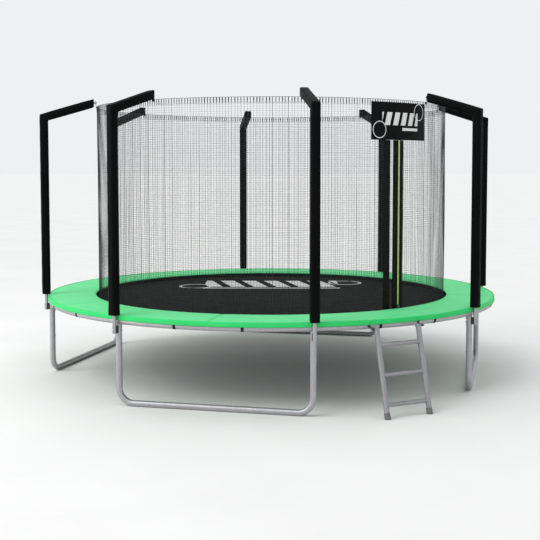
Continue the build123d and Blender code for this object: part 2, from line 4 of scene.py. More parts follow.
import bpy
import numpy as np
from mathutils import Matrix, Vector


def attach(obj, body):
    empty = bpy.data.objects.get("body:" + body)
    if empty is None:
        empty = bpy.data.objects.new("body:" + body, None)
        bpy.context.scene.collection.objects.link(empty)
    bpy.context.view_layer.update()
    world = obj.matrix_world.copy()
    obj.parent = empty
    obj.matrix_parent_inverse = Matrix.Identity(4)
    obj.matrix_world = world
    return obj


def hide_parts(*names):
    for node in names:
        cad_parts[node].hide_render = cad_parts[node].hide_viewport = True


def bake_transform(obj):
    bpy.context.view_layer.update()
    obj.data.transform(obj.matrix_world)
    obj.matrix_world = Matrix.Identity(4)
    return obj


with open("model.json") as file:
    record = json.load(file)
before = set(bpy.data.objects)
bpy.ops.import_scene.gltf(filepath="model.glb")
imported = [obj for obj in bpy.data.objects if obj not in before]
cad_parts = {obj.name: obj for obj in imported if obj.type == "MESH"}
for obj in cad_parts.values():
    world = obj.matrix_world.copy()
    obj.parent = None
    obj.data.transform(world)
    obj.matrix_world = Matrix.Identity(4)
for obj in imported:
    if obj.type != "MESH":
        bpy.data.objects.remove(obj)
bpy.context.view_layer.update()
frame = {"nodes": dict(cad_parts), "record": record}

# A trampoline with a safety net. Metres, +Z up, centre of the circle on the ground.

SCENE = bpy.context.scene

# --- places and sizes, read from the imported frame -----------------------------


def points_of(node):
    """A CAD node's points, as rows of x, y, z."""
    mesh = frame["nodes"][node].data
    flat = np.empty(3 * len(mesh.vertices))
    mesh.vertices.foreach_get("co", flat)
    return flat.reshape(-1, 3)


def ring_of(node):
    """The inner radius, outer radius, bottom and top of a node that goes round the Z axis."""
    points = points_of(node)
    radius = np.hypot(points[:, 0], points[:, 1])
    return radius.min(), radius.max(), points[:, 2].min(), points[:, 2].max()


SECTORS = 8                     # pad panels, and poles
WEDGES = 16                     # slices that the mat is cut in
SPRINGS = 96
POST_ANGLES = [radians(360 / SECTORS * (i + 0.5)) for i in range(SECTORS)]

PAD_IN, PAD_OUT, PAD_LOW, PAD_TOP = ring_of("safety_pad")
_, _, SKIRT_LOW, _ = ring_of("pad_skirt")
_, MAT_R, MAT_LOW, MAT_TOP = ring_of("jumping_mat")
WEB_IN, WEB_OUT, WEB_LOW, WEB_TOP = ring_of("mat_webbing")
_, RING_OUT, _, _ = ring_of("v_rings")
_, SPRING_OUT, SPRING_LOW, SPRING_TOP = ring_of("springs")
NET_IN, NET_OUT, NET_LOW, NET_TOP = ring_of("enclosure_net")
HEM_IN, HEM_OUT, HEM_LOW, HEM_TOP = ring_of("net_bottom_hem")
TAPE_IN, TAPE_OUT, TAPE_LOW, TAPE_TOP = ring_of("zip_tape")
TEETH_IN, TEETH_OUT, _, _ = ring_of("zip_teeth")
BANNER_IN, BANNER_OUT, BANNER_LOW, BANNER_TOP = ring_of("door_banner")
MAT_Z = (MAT_LOW + MAT_TOP) / 2
NET_R = (NET_IN + NET_OUT) / 2


def arc_of(node):
    """The middle angle and the span of a node that covers a short arc."""
    points = points_of(node)
    angles = np.arctan2(points[:, 1], points[:, 0])
    return (angles.min() + angles.max()) / 2, angles.max() - angles.min()


# --- mesh helpers -------------------------------------------------------------


def add_mesh(name, points, quads, material, tris=(), smooth=True):
    """An object from arrays of points, four-sided faces and three-sided faces."""
    points = np.asarray(points, np.float32).reshape(-1, 3)
    quads = np.asarray(quads, np.int32).reshape(-1, 4)
    tris = np.asarray(tris, np.int32).reshape(-1, 3)
    corners = np.concatenate([quads.ravel(), tris.ravel()])
    counts = np.concatenate([np.full(len(quads), 4), np.full(len(tris), 3)])
    starts = np.concatenate([[0], np.cumsum(counts)[:-1]])
    mesh = bpy.data.meshes.new(name)
    mesh.vertices.add(len(points))
    mesh.vertices.foreach_set("co", points.ravel())
    mesh.loops.add(len(corners))
    mesh.loops.foreach_set("vertex_index", corners.astype(np.int32))
    mesh.polygons.add(len(counts))
    mesh.polygons.foreach_set("loop_start", starts.astype(np.int32))
    mesh.polygons.foreach_set("use_smooth", np.full(len(counts), smooth))
    mesh.update(calc_edges=True)
    mesh.validate()
    mesh.materials.append(material)
    obj = bpy.data.objects.new(name, mesh)
    SCENE.collection.objects.link(obj)
    return obj


def grid_quads(rows, cols, wrap_rows=False, wrap_cols=False):
    """Faces of a grid of points, in row order."""
    r = np.arange(rows if wrap_rows else rows - 1)
    c = np.arange(cols if wrap_cols else cols - 1)
    r, c = np.meshgrid(r, c, indexing="ij")
    r2, c2 = (r + 1) % rows, (c + 1) % cols
    return np.stack([r * cols + c, r * cols + c2, r2 * cols + c2, r2 * cols + c], -1).reshape(-1, 4)


def grid_rim(rows, cols):
    """The points round the edge of a grid, as pairs of neighbours."""
    rim = list(range(cols))
    rim += [r * cols + cols - 1 for r in range(1, rows)]
    rim += [rows * cols - 1 - c for c in range(1, cols)]
    rim += [r * cols for r in range(rows - 2, 0, -1)]
    return zip(rim, rim[1:] + rim[:1])


def turned(points, angle):
    """Points turned about the Z axis."""
    c, s = cos(angle), sin(angle)
    x, y, z = np.moveaxis(np.asarray(points, float), -1, 0)
    return np.stack([x * c - y * s, x * s + y * c, z], -1)


def polar(radius, angle, z):
    """Points from radius, angle and height arrays."""
    radius, angle, z = np.broadcast_arrays(radius, angle, z)
    return np.stack([radius * np.cos(angle), radius * np.sin(angle), z], -1)


def bars(centres, side_a, side_b, radius, sides, closed=False):
    """Many thin bars. centres is (bars, points, 3); side_a and side_b span each section."""
    count, length, _ = centres.shape
    turn = 2 * pi * np.arange(sides) / sides
    section = np.cos(turn)[:, None] * side_a[:, :, None, :] + np.sin(turn)[:, None] * side_b[:, :, None, :]
    radius = np.broadcast_to(radius, (count, length))[:, :, None, None]
    points = centres[:, :, None, :] + radius * section
    one = grid_quads(length, sides, wrap_rows=closed, wrap_cols=True)
    offset = (np.arange(count) * length * sides)[:, None, None]
    quads = (one[None] + offset).reshape(-1, 4)
    tris = np.zeros((0, 3), int)
    if not closed:
        fan = np.array([[0, k + 1, k] for k in range(1, sides - 1)])
        last = (length - 1) * sides
        ends = np.concatenate([fan, fan[:, ::-1] + last])
        tris = (ends[None] + offset).reshape(-1, 3)
    return points.reshape(-1, 3), quads, tris


def wire(path, radius, sides, closed=False):
    """A round wire along a path, with a section that doesn't twist."""
    path = np.asarray(path, float)
    if closed:
        ahead = np.roll(path, -1, 0) - np.roll(path, 1, 0)
    else:
        ahead = np.gradient(path, axis=0)
    ahead /= np.linalg.norm(ahead, axis=1)[:, None]
    side = np.cross(ahead[0], (0, 0, 1) if abs(ahead[0][2]) < 0.9 else (0, 1, 0))
    sides_a = []
    for direction in ahead:
        side = side - direction * side.dot(direction)
        side /= np.linalg.norm(side)
        sides_a.append(side)
    a = np.array(sides_a)
    b = np.cross(ahead, a)
    return bars(path[None], a[None], b[None], radius, sides, closed)


def joined(parts):
    """Several (points, quads, tris) as one."""
    points, quads, tris, start = [], [], [], 0
    for p, q, t in parts:
        points.append(p)
        quads.append(np.asarray(q).reshape(-1, 4) + start)
        tris.append(np.asarray(t, int).reshape(-1, 3) + start)
        start += len(p)
    return np.concatenate(points), np.concatenate(quads), np.concatenate(tris)


def swept_arc(profile, angles, closed_ring=False):
    """A closed profile of (radius, z) points swept round the Z axis, with flat ends."""
    profile = np.asarray(profile, float)
    angles = np.asarray(angles, float)
    points = polar(profile[None, :, 0], angles[:, None], profile[None, :, 1])
    count = len(profile)
    quads = grid_quads(len(angles), count, wrap_rows=closed_ring, wrap_cols=True)
    tris = np.zeros((0, 3), int)
    if not closed_ring:
        fan = np.array([[0, k, k + 1] for k in range(1, count - 1)])
        tris = np.concatenate([fan[:, ::-1], fan + (len(angles) - 1) * count])
    return points.reshape(-1, 3), quads, tris


def rounded_box(r_in, r_out, z_low, z_high, corner, steps=3):
    """A (radius, z) profile with rounded corners, anticlockwise."""
    profile = []
    centres = ((r_out, z_high, 0), (r_in, z_high, 90), (r_in, z_low, 180), (r_out, z_low, 270))
    for r, z, first in centres:
        cr = r - corner if r == r_out else r + corner
        cz = z - corner if z == z_high else z + corner
        for step in range(steps + 1):
            a = radians(first + 90 * step / steps)
            profile.append((cr + corner * cos(a), cz + corner * sin(a)))
    return profile


def sector_of(node, sector, count):
    """The part of a CAD node in one of count equal sectors, as (points, quads, tris)."""
    points = points_of(node)
    triangles = []
    for polygon in frame["nodes"][node].data.polygons:
        first, *rest = polygon.vertices
        triangles += [(first, b, c) for b, c in zip(rest, rest[1:])]
    triangles = np.array(triangles)
    middle = points[triangles].mean(1)
    angle = np.arctan2(middle[:, 1], middle[:, 0]) % (2 * pi)
    inside = (angle // (2 * pi / count)).astype(int) == sector
    used, index = np.unique(triangles[inside], return_inverse=True)
    return points[used], np.zeros((0, 4), int), index.reshape(-1, 3)


# --- material helpers ---------------------------------------------------------


class Shader:
    """Builds one procedural material."""

    def __init__(self, name):
        self.material = bpy.data.materials.new(name)
        self.material.use_nodes = True
        self.tree = self.material.node_tree
        self.tree.nodes.clear()
        self.out = self.node("ShaderNodeOutputMaterial")
        self.bsdf = self.node("ShaderNodeBsdfPrincipled")
        self.link(self.bsdf.outputs[0], self.out.inputs["Surface"])
        self.place = self.node("ShaderNodeTexCoord").outputs["Object"]

    def node(self, kind, **inputs):
        """A node with some of its inputs set or linked."""
        made = self.tree.nodes.new(kind)
        for key, value in inputs.items():
            self.put(made.inputs[key.replace("_", " ")], value)
        return made

    def link(self, source, target):
        self.tree.links.new(source, target)

    def put(self, socket, value):
        """Links an output to a socket, or sets the socket's number or colour."""
        if isinstance(value, bpy.types.NodeSocket):
            self.link(value, socket)
        else:
            socket.default_value = value

    def math(self, kind, a, b=0.0):
        made = self.tree.nodes.new("ShaderNodeMath")
        made.operation = kind
        self.put(made.inputs[0], a)
        self.put(made.inputs[1], b)
        return made.outputs[0]

    def both(self, *masks):
        """1 where all the masks are 1."""
        found = masks[0]
        for mask in masks[1:]:
            found = self.math("MULTIPLY", found, mask)
        return found

    def either(self, *masks):
        """The highest of the masks."""
        found = masks[0]
        for mask in masks[1:]:
            found = self.math("MAXIMUM", found, mask)
        return found

    def within(self, value, centre, half):
        """1 where the value is less than half away from the centre, 0 elsewhere."""
        away = self.math("ABSOLUTE", self.math("SUBTRACT", value, centre))
        return self.math("LESS_THAN", away, half)

    def split(self, vector):
        """The x, y and z of a vector."""
        return self.node("ShaderNodeSeparateXYZ", Vector=vector).outputs

    def scaled(self, x, y, z):
        """The place on the object, stretched along the axes."""
        made = self.tree.nodes.new("ShaderNodeVectorMath")
        made.operation = "MULTIPLY"
        self.link(self.place, made.inputs[0])
        made.inputs[1].default_value = (x, y, z)
        return made.outputs[0]

    def noise(self, scale, detail=4.0, roughness=0.55, vector=None):
        made = self.node("ShaderNodeTexNoise", Scale=scale, Detail=detail, Roughness=roughness)
        self.link(vector or self.place, made.inputs["Vector"])
        return made.outputs["Fac"]

    def ramp(self, value, stops):
        """Colours at positions from 0 to 1, and the blends between them."""
        made = self.tree.nodes.new("ShaderNodeValToRGB")
        self.link(value, made.inputs["Fac"])
        elements = made.color_ramp.elements
        while len(elements) < len(stops):
            elements.new(0.5)
        for element, (position, colour) in zip(elements, stops):
            element.position = position
            element.color = (*colour, 1) if len(colour) == 3 else colour
        return made.outputs["Color"]

    def range(self, value, low, high):
        """A value from 0 to 1 brought between low and high."""
        made = self.node("ShaderNodeMapRange", Value=value)
        made.inputs["To Min"].default_value = low
        made.inputs["To Max"].default_value = high
        return made.outputs["Result"]

    def mix(self, share, first, second):
        made = self.tree.nodes.new("ShaderNodeMix")
        made.data_type = "RGBA"
        self.put(made.inputs[0], share)
        self.put(made.inputs[6], first if not isinstance(first, tuple) else (*first, 1))
        self.put(made.inputs[7], second if not isinstance(second, tuple) else (*second, 1))
        return made.outputs[2]

    def bump(self, height, strength, distance, below=None):
        """A bumped normal, on top of another one if it is given."""
        made = self.node("ShaderNodeBump", Height=height, Strength=strength, Distance=distance)
        if below is not None:
            self.link(below, made.inputs["Normal"])
        return made.outputs["Normal"]

    def set(self, **values):
        """Sets or links the shader's sockets, and gives the finished material."""
        for key, value in values.items():
            if isinstance(value, tuple) and len(value) == 3:
                value = (*value, 1)
            self.put(self.bsdf.inputs[key.replace("_", " ")], value)
        return self.material

    def waves(self, coordinate, pitch):
        """A rounded ridge every pitch metres along one coordinate, from 0 to 1."""
        wave = self.math("SINE", self.math("MULTIPLY", coordinate, 2 * pi / pitch))
        return self.math("ADD", self.math("MULTIPLY", wave, 0.5), 0.5)

    def round_place(self, radius):
        """Arc length round the Z axis, radius and height, as three values."""
        x, y, z = self.split(self.place)
        angle = self.math("ARCTAN2", y, x)
        squared = self.math("ADD", self.math("MULTIPLY", x, x), self.math("MULTIPLY", y, y))
        return self.math("MULTIPLY", angle, radius), self.math("SQRT", squared), z


# --- materials ----------------------------------------------------------------


def galvanised(name, tone, rough=0.42):
    """Hot-dip zinc: pale grey with faint crystals, streaks and dull patches."""
    s = Shader(name)
    cells = s.node("ShaderNodeTexVoronoi", Scale=70.0)
    s.link(s.place, cells.inputs["Vector"])
    crystal = s.range(s.split(cells.outputs["Color"])[0], 0.93, 1.05)
    cloud = s.range(s.noise(9.0, 6.0), 0.88, 1.10)
    streak = s.range(s.noise(1.0, 3.0, vector=s.scaled(60, 60, 5)), 0.95, 1.04)
    shade = s.math("MULTIPLY", s.math("MULTIPLY", crystal, cloud), streak)
    made = s.tree.nodes.new("ShaderNodeVectorMath")
    made.operation = "SCALE"
    made.inputs[0].default_value = tone
    s.link(shade, made.inputs["Scale"])
    roughness = s.range(s.noise(24.0, 5.0), rough - 0.10, rough + 0.16)
    fine = s.bump(s.noise(900.0, 2.0), 0.10, 0.0004)
    normal = s.bump(s.noise(16.0, 4.0), 0.18, 0.0012, fine)
    return s.set(Base_Color=made.outputs[0], Metallic=0.75, Roughness=roughness, Normal=normal)


def plated(name, colour, rough):
    """Bright zinc plating or bare spring wire, a little uneven."""
    s = Shader(name)
    cloud = s.noise(40.0, 6.0)
    dark = tuple(0.72 * c for c in colour)
    tint = s.ramp(cloud, [(0.25, dark), (0.75, colour)])
    roughness = s.range(s.noise(120.0, 4.0), rough - 0.08, rough + 0.14)
    normal = s.bump(s.noise(600.0, 3.0), 0.12, 0.0004)
    return s.set(Base_Color=tint, Metallic=1.0, Roughness=roughness, Normal=normal)


def powder_coat(name, colour):
    """Painted steel with a fine orange-peel surface and slightly rubbed patches."""
    s = Shader(name)
    worn = tuple(min(1, 2.4 * c + 0.03) for c in colour)
    tint = s.ramp(s.noise(22.0, 8.0, 0.7), [(0.55, colour), (0.86, worn)])
    roughness = s.range(s.noise(70.0, 4.0), 0.34, 0.52)
    normal = s.bump(s.noise(700.0, 2.0), 0.22, 0.0006)
    return s.set(Base_Color=tint, Roughness=roughness, Normal=normal)


def moulded(name, colour):
    """Matt plastic with a fine spark-eroded grain."""
    s = Shader(name)
    light = tuple(min(1, 1.5 * c + 0.01) for c in colour)
    tint = s.ramp(s.noise(30.0, 6.0), [(0.3, colour), (0.8, light)])
    roughness = s.range(s.noise(200.0, 3.0), 0.50, 0.66)
    normal = s.bump(s.noise(1500.0, 2.0), 0.25, 0.0004)
    return s.set(Base_Color=tint, Roughness=roughness, Normal=normal)


def coated_cloth(name, dark, light, rough, radius, gloss, weave=0.0022):
    """PVC-coated cloth: the threads show through the coat, with faint dirt and creases."""
    s = Shader(name)
    along, across, height = s.round_place(radius)
    up = s.math("ADD", across, height)
    thread = s.math("MULTIPLY", s.waves(along, weave), s.waves(up, weave))
    tint = s.ramp(s.noise(2.2, 7.0, 0.6), [(0.30, dark), (0.72, light)])
    roughness = s.range(s.noise(14.0, 6.0), rough - 0.07, rough + 0.10)
    crease = s.bump(s.noise(7.0, 4.0, 0.5), 0.25, 0.004)
    normal = s.bump(thread, 0.30, 0.0005, crease)
    return s.set(Base_Color=tint, Roughness=roughness, Normal=normal, Specular_IOR_Level=gloss)


def woven_mat(name):
    """Black polypropylene weave with rings of sewing near its edge and a pale print."""
    s = Shader(name)
    x, y, _ = s.split(s.place)
    weave = s.math("MULTIPLY", s.waves(x, 0.0036), s.waves(y, 0.0036))
    _, radius, _ = s.round_place(1.0)
    cloud = s.noise(3.0, 6.0, 0.6)
    black = s.ramp(cloud, [(0.3, (0.0025, 0.0025, 0.003)), (0.8, (0.007, 0.007, 0.008))])
    seam = s.waves(radius, 0.012)
    at_edge = s.math("GREATER_THAN", radius, MAT_R - 0.085)
    height = s.math("ADD", weave, s.math("MULTIPLY", seam, at_edge))
    tint = s.mix(mat_print(s), black, (0.62, 0.62, 0.62))
    roughness = s.range(s.noise(8.0, 5.0), 0.58, 0.78)
    normal = s.bump(height, 0.45, 0.0008)
    return s.set(Base_Color=tint, Roughness=roughness, Normal=normal, Specular_IOR_Level=0.03)


PRINT_TURN = radians(13.4)      # the print reads from the side of the ladder
PRINT_CENTRE = 0.80             # beyond the middle of the mat
PRINT_HALF_WIDTH = 0.72
PRINT_HALF_HEIGHT = 0.36
PRINT_SLANT = 0.25
PRINT_PITCH = 0.24
PRINT_BLOCK = 0.62 * PRINT_PITCH
PRINT_BLOCKS_UP = 0.07          # the middle of the blocks above the middle of the print
PRINT_BAR = 0.03                # half the bar's height
PRINT_RING = 0.17
PRINT_RING_LINE = 0.028
PRINT_RING_OUT = 0.80
PRINT_RING_UP = 0.16


def ring_mask(s, u, v, centre, radius, line):
    """1 on a thin circle of this radius about the centre (u, v), 0 elsewhere."""
    across = s.math("SUBTRACT", u, centre[0])
    up = s.math("SUBTRACT", v, centre[1])
    squares = s.math("ADD", s.math("MULTIPLY", across, across), s.math("MULTIPLY", up, up))
    return s.within(s.math("SQRT", squares), radius, line / 2)


def mat_print(s):
    """A plain motif: a row of slanted blocks over one thin bar and two rings, from 0 to 1."""
    turn = s.node("ShaderNodeVectorRotate", Vector=s.place, Angle=-PRINT_TURN)
    u, v, _ = s.split(turn.outputs[0])
    v = s.math("SUBTRACT", v, PRINT_CENTRE)
    slanted = s.math("ADD", u, s.math("MULTIPLY", v, PRINT_SLANT))
    in_block = s.math("LESS_THAN", s.math("FLOORED_MODULO", slanted, PRINT_PITCH), PRINT_BLOCK)
    in_width = s.within(u, 0, PRINT_HALF_WIDTH)
    in_height = s.within(v, PRINT_BLOCKS_UP, PRINT_HALF_HEIGHT - PRINT_BLOCKS_UP)
    blocks = s.both(in_block, in_width, in_height)
    bar = s.both(s.within(v, PRINT_BAR - PRINT_HALF_HEIGHT, PRINT_BAR), in_width)
    near_ring = ring_mask(s, u, v, (-PRINT_RING_OUT, -PRINT_RING_UP), PRINT_RING, PRINT_RING_LINE)
    far_ring = ring_mask(s, u, v, (PRINT_RING_OUT, PRINT_RING_UP), PRINT_RING, PRINT_RING_LINE)
    motif = s.either(blocks, bar, near_ring, far_ring)
    worn = s.range(s.noise(60.0, 5.0), 0.75, 1.0)
    return s.math("MULTIPLY", motif, worn)


def webbing(name, colour):
    """Woven tape with cross ribs."""
    s = Shader(name)
    along, across, height = s.round_place(NET_R)
    up = s.math("ADD", across, height)
    ribs = s.math("ADD", s.waves(along, 0.0030), s.math("MULTIPLY", s.waves(up, 0.0014), 0.6))
    light = tuple(min(1, 1.9 * c + 0.004) for c in colour)
    tint = s.ramp(s.noise(35.0, 6.0), [(0.3, colour), (0.8, light)])
    normal = s.bump(ribs, 0.5, 0.0006)
    return s.set(Base_Color=tint, Roughness=0.78, Normal=normal, Specular_IOR_Level=0.06)


def net_thread(name):
    """Dark knitted polyethylene thread."""
    s = Shader(name)
    tint = s.ramp(s.noise(14.0, 6.0), [(0.3, (0.028, 0.028, 0.030)), (0.8, (0.060, 0.060, 0.064))])
    twist = s.bump(s.noise(1400.0, 2.0), 0.4, 0.0004)
    return s.set(Base_Color=tint, Roughness=0.7, Normal=twist, Specular_IOR_Level=0.2)


BANNER_RING = 0.070
BANNER_RING_LINE = 0.007


def banner_print(name, centre, span):
    """Black coated cloth with a plain pale motif: slanted blocks, a thin bar and two rings."""
    s = Shader(name)
    width = span * BANNER_OUT
    turn = s.node("ShaderNodeVectorRotate", Vector=s.place, Angle=-centre)
    x, y, z = s.split(turn.outputs[0])
    u = s.math("MULTIPLY", s.math("ARCTAN2", y, x), BANNER_OUT)
    v = s.math("SUBTRACT", z, (BANNER_LOW + BANNER_TOP) / 2)
    slanted = s.math("SUBTRACT", u, s.math("MULTIPLY", v, 0.25))
    pitch = 0.36 * width / 2.6
    in_block = s.math("LESS_THAN", s.math("FLOORED_MODULO", slanted, pitch), 0.625 * pitch)
    in_width = s.within(u, 0, 0.33 * width)
    blocks = s.both(in_block, in_width, s.within(v, 0.02, 0.055))
    right_half = s.math("GREATER_THAN", u, 0.02 * width)
    bar = s.both(s.within(v, -0.068, 0.012), in_width, right_half)
    low_ring = ring_mask(s, u, v, (-0.37 * width, -0.075), BANNER_RING, BANNER_RING_LINE)
    high_ring = ring_mask(s, u, v, (0.36 * width, 0.085), BANNER_RING, BANNER_RING_LINE)
    motif = s.either(blocks, bar, low_ring, high_ring)
    mask = s.math("MULTIPLY", motif, s.range(s.noise(80.0, 4.0), 0.85, 1.0))
    thread = s.math("MULTIPLY", s.waves(u, 0.0018), s.waves(v, 0.0018))
    black = s.ramp(s.noise(12.0, 6.0), [(0.3, (0.002, 0.002, 0.0025)), (0.8, (0.006, 0.006, 0.007))])
    normal = s.bump(thread, 0.3, 0.0004, s.bump(s.noise(9.0, 3.0), 0.3, 0.004))
    return s.set(
        Base_Color=s.mix(mask, black, (0.78, 0.78, 0.78)),
        Roughness=s.range(s.noise(30.0, 4.0), 0.42, 0.58),
        Normal=normal,
        Specular_IOR_Level=0.06,
    )


def floor_paint(name):
    """A plain pale floor with a very faint mottle."""
    s = Shader(name)
    tint = s.ramp(s.noise(0.8, 5.0), [(0.3, (0.78, 0.78, 0.77)), (0.7, (0.82, 0.82, 0.81))])
    return s.set(Base_Color=tint, Roughness=0.85)


GALVANISED = galvanised("galvanised_tube", (0.42, 0.415, 0.43))
LADDER_ZINC = galvanised("ladder_tube", (0.33, 0.325, 0.34), 0.46)
ZINC = plated("zinc_fastener", (0.50, 0.50, 0.49), 0.36)
WIRE = plated("spring_wire", (0.55, 0.55, 0.54), 0.30)
ZIP_METAL = plated("zip_metal", (0.34, 0.34, 0.35), 0.36)
DARK_STEEL = powder_coat("dark_steel", (0.035, 0.035, 0.038))
BLACK_PLASTIC = moulded("black_plastic", (0.018, 0.018, 0.019))
GREY_PLASTIC = moulded("grey_plastic", (0.10, 0.10, 0.105))
SLEEVE = coated_cloth(
    "sleeve_cover", (0.0012, 0.0012, 0.0014), (0.003, 0.003, 0.0034), rough=0.5, radius=2.1, gloss=0.05
)
PAD_GREEN = coated_cloth(
    "pad_cover", (0.113, 0.685, 0.26), (0.135, 0.75, 0.295), rough=0.50, radius=1.95, gloss=0.1
)
EDGE_GREEN = coated_cloth(
    "pad_edge", (0.026, 0.56, 0.135), (0.040, 0.64, 0.170), rough=0.48, radius=2.18, gloss=0.15
)
MAT_BLACK = woven_mat("mat_weave")
WEB_BLACK = webbing("black_webbing", (0.010, 0.010, 0.011))
NET_TAPE = webbing("net_tape", (0.014, 0.014, 0.015))
ZIP_TAPE = webbing("zip_tape", (0.006, 0.006, 0.006))
NET_BLACK = net_thread("net_mesh")
ZIP_GREEN = moulded("zip_teeth", (0.40, 0.46, 0.15))
BANNER = banner_print("banner_vinyl", *arc_of("door_banner"))
STITCH = moulded("sewing_thread", (0.06, 0.42, 0.14))

CARRIED_OVER = {
    "galvanised_tube": GALVANISED,
    "ladder_tube": LADDER_ZINC,
    "zinc_fastener": ZINC,
    "dark_steel": DARK_STEEL,
    "black_plastic": BLACK_PLASTIC,
    "grey_plastic": GREY_PLASTIC,
    "black_webbing": WEB_BLACK,
    "zip_metal": ZIP_METAL,
}


def paint_cad_nodes():
    """Gives every CAD node that stays its procedural material."""
    for part in frame["record"]["subparts"]:
        material = CARRIED_OVER.get(part["material_slot"])
        if material is None:
            continue
        for place in frame["nodes"][part["node"]].material_slots:
            place.material = material


# --- soft pieces --------------------------------------------------------------


def copy_of(node, name, material):
    """A new object with a CAD node's mesh, for the pieces that start from its shape."""
    obj = bpy.data.objects.new(name, frame["nodes"][node].data.copy())
    obj.data.materials.clear()
    obj.data.materials.append(material)
    SCENE.collection.objects.link(obj)
    return obj


def apply_modifiers(obj):
    """Replaces an object's mesh by what its modifiers make of it."""
    bpy.context.view_layer.update()
    graph = bpy.context.evaluated_depsgraph_get()
    mesh = bpy.data.meshes.new_from_object(obj.evaluated_get(graph), depsgraph=graph)
    obj.modifiers.clear()
    obj.data = mesh
    return obj


def remesh(obj, voxel):
    """Rebuilds a closed mesh from even squares, which cloth needs."""
    modifier = obj.modifiers.new("voxels", "REMESH")
    modifier.mode = "VOXEL"
    modifier.voxel_size = voxel
    modifier.use_smooth_shade = True
    return apply_modifiers(obj)


def coordinates(obj):
    """An object's points, as rows of x, y, z."""
    flat = np.empty(3 * len(obj.data.vertices))
    obj.data.vertices.foreach_get("co", flat)
    return flat.reshape(-1, 3)


def set_coordinates(obj, points):
    """Moves an object's points."""
    obj.data.vertices.foreach_set("co", points.ravel())
    obj.data.update()


CLOTH_FRAMES = 20


def swell(obj, pressure, pinned, cap):
    """Inflates a closed cover a little by cloth simulation, and limits how far a point may move."""
    before = coordinates(obj)
    group = obj.vertex_groups.new(name="sewn")
    group.add([int(i) for i in np.nonzero(pinned)[0]], 1.0, "REPLACE")
    cloth = obj.modifiers.new("cloth", "CLOTH")
    cloth.settings.quality = 4
    cloth.settings.use_pressure = True
    cloth.settings.uniform_pressure_force = pressure
    cloth.settings.vertex_group_mass = "sewn"
    cloth.settings.effector_weights.gravity = 0
    cloth.point_cache.frame_start, cloth.point_cache.frame_end = 1, CLOTH_FRAMES
    for step in range(1, CLOTH_FRAMES + 1):
        SCENE.frame_set(step)
    apply_modifiers(obj)
    SCENE.frame_set(1)
    obj.vertex_groups.clear()
    moved = coordinates(obj) - before
    far = np.linalg.norm(moved, axis=1)
    share = np.minimum(1, cap / np.maximum(far, 1e-9))
    set_coordinates(obj, before + moved * share[:, None])
    return obj


def shade_smooth(obj):
    """Smooth shading on every face."""
    for polygon in obj.data.polygons:
        polygon.use_smooth = True


def turned_copy(obj, name, angle):
    """A copy of a finished piece, turned about the Z axis in its mesh."""
    copy = bpy.data.objects.new(name, obj.data.copy())
    SCENE.collection.objects.link(copy)
    set_coordinates(copy, turned(coordinates(obj), angle))
    return copy


PAD_SEAM = 0.022                # distance of the sewn channels from the pad's edges
PAD_VOXEL = 0.009
PAD_PRESSURE = 1.2
PAD_SWELL = 0.006               # the most that the cloth may move
CHANNEL_HALF_WIDTH = 0.008
CHANNEL_DEPTH = 0.0018
CROWN_HEIGHT = 0.0015
CROWN_REACH = (0.06, 0.05)      # from the pad's edge, and from the panel's ends
PAD_RISE = 0.007                # the most that the filled top stands above the CAD's


def first_pad_panel():
    """The CAD panel between 0 and 45 degrees, filled like a sewn pad."""
    points, quads, tris = sector_of("safety_pad", 0, SECTORS)
    panel = add_mesh("safety_pad_1", points, quads, PAD_GREEN, tris)
    remesh(panel, PAD_VOXEL)
    points = coordinates(panel)
    radius = np.hypot(points[:, 0], points[:, 1])
    angle = np.arctan2(points[:, 1], points[:, 0])
    along = np.minimum(angle, 2 * pi / SECTORS - angle) * radius
    edge = np.minimum(radius - PAD_IN, PAD_OUT - radius)
    in_seam = np.minimum(abs(edge - PAD_SEAM), abs(along - PAD_SEAM)) < 0.6 * PAD_VOXEL
    swell(panel, PAD_PRESSURE, in_seam, PAD_SWELL)
    points = coordinates(panel)
    depth = np.clip(1 - abs(edge - PAD_SEAM) / CHANNEL_HALF_WIDTH, 0, 1)
    depth = np.maximum(depth, np.clip(1 - abs(along - PAD_SEAM) / CHANNEL_HALF_WIDTH, 0, 1))
    crown = np.clip(edge / CROWN_REACH[0], 0, 1) * np.clip(along / CROWN_REACH[1], 0, 1)
    up = points[:, 2] > (PAD_LOW + PAD_TOP) / 2
    points[:, 2] += np.where(up, CROWN_HEIGHT * crown - CHANNEL_DEPTH * depth, 0)
    points[:, 2] = np.clip(points[:, 2], PAD_LOW - 0.0005, PAD_TOP + PAD_RISE)
    set_coordinates(panel, points)
    return panel


def make_pad():
    """Eight padded panels: the first one, turned round."""
    first = first_pad_panel()
    panels = [first]
    for i in range(1, SECTORS):
        panels.append(turned_copy(first, f"safety_pad_{i + 1}", 2 * pi / SECTORS * i))
    for panel in panels:
        shade_smooth(panel)
        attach(panel, "frame")
        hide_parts("safety_pad")


STITCH_LENGTH = 0.009
STITCH_GAP = 0.004
STITCH_THREAD = 0.0009          # radius


def stitches(name, radius, z):
    """A ring of single stitches that lie on the pad."""
    count = int(2 * pi * radius / (STITCH_LENGTH + STITCH_GAP))
    middle = 2 * pi * np.arange(count) / count
    steps = np.linspace(-0.5, 0.5, 5)
    angles = middle[:, None] + steps[None] * STITCH_LENGTH / radius
    lift = z + STITCH_THREAD * np.cos(steps * pi)[None]
    centres = polar(radius, angles, lift)
    out = polar(1.0, angles, 0 * angles)
    up = np.broadcast_to((0.0, 0.0, 1.0), centres.shape)
    points, quads, tris = bars(centres, out, up, STITCH_THREAD, 4)
    return add_mesh(name, points, quads, STITCH, tris)


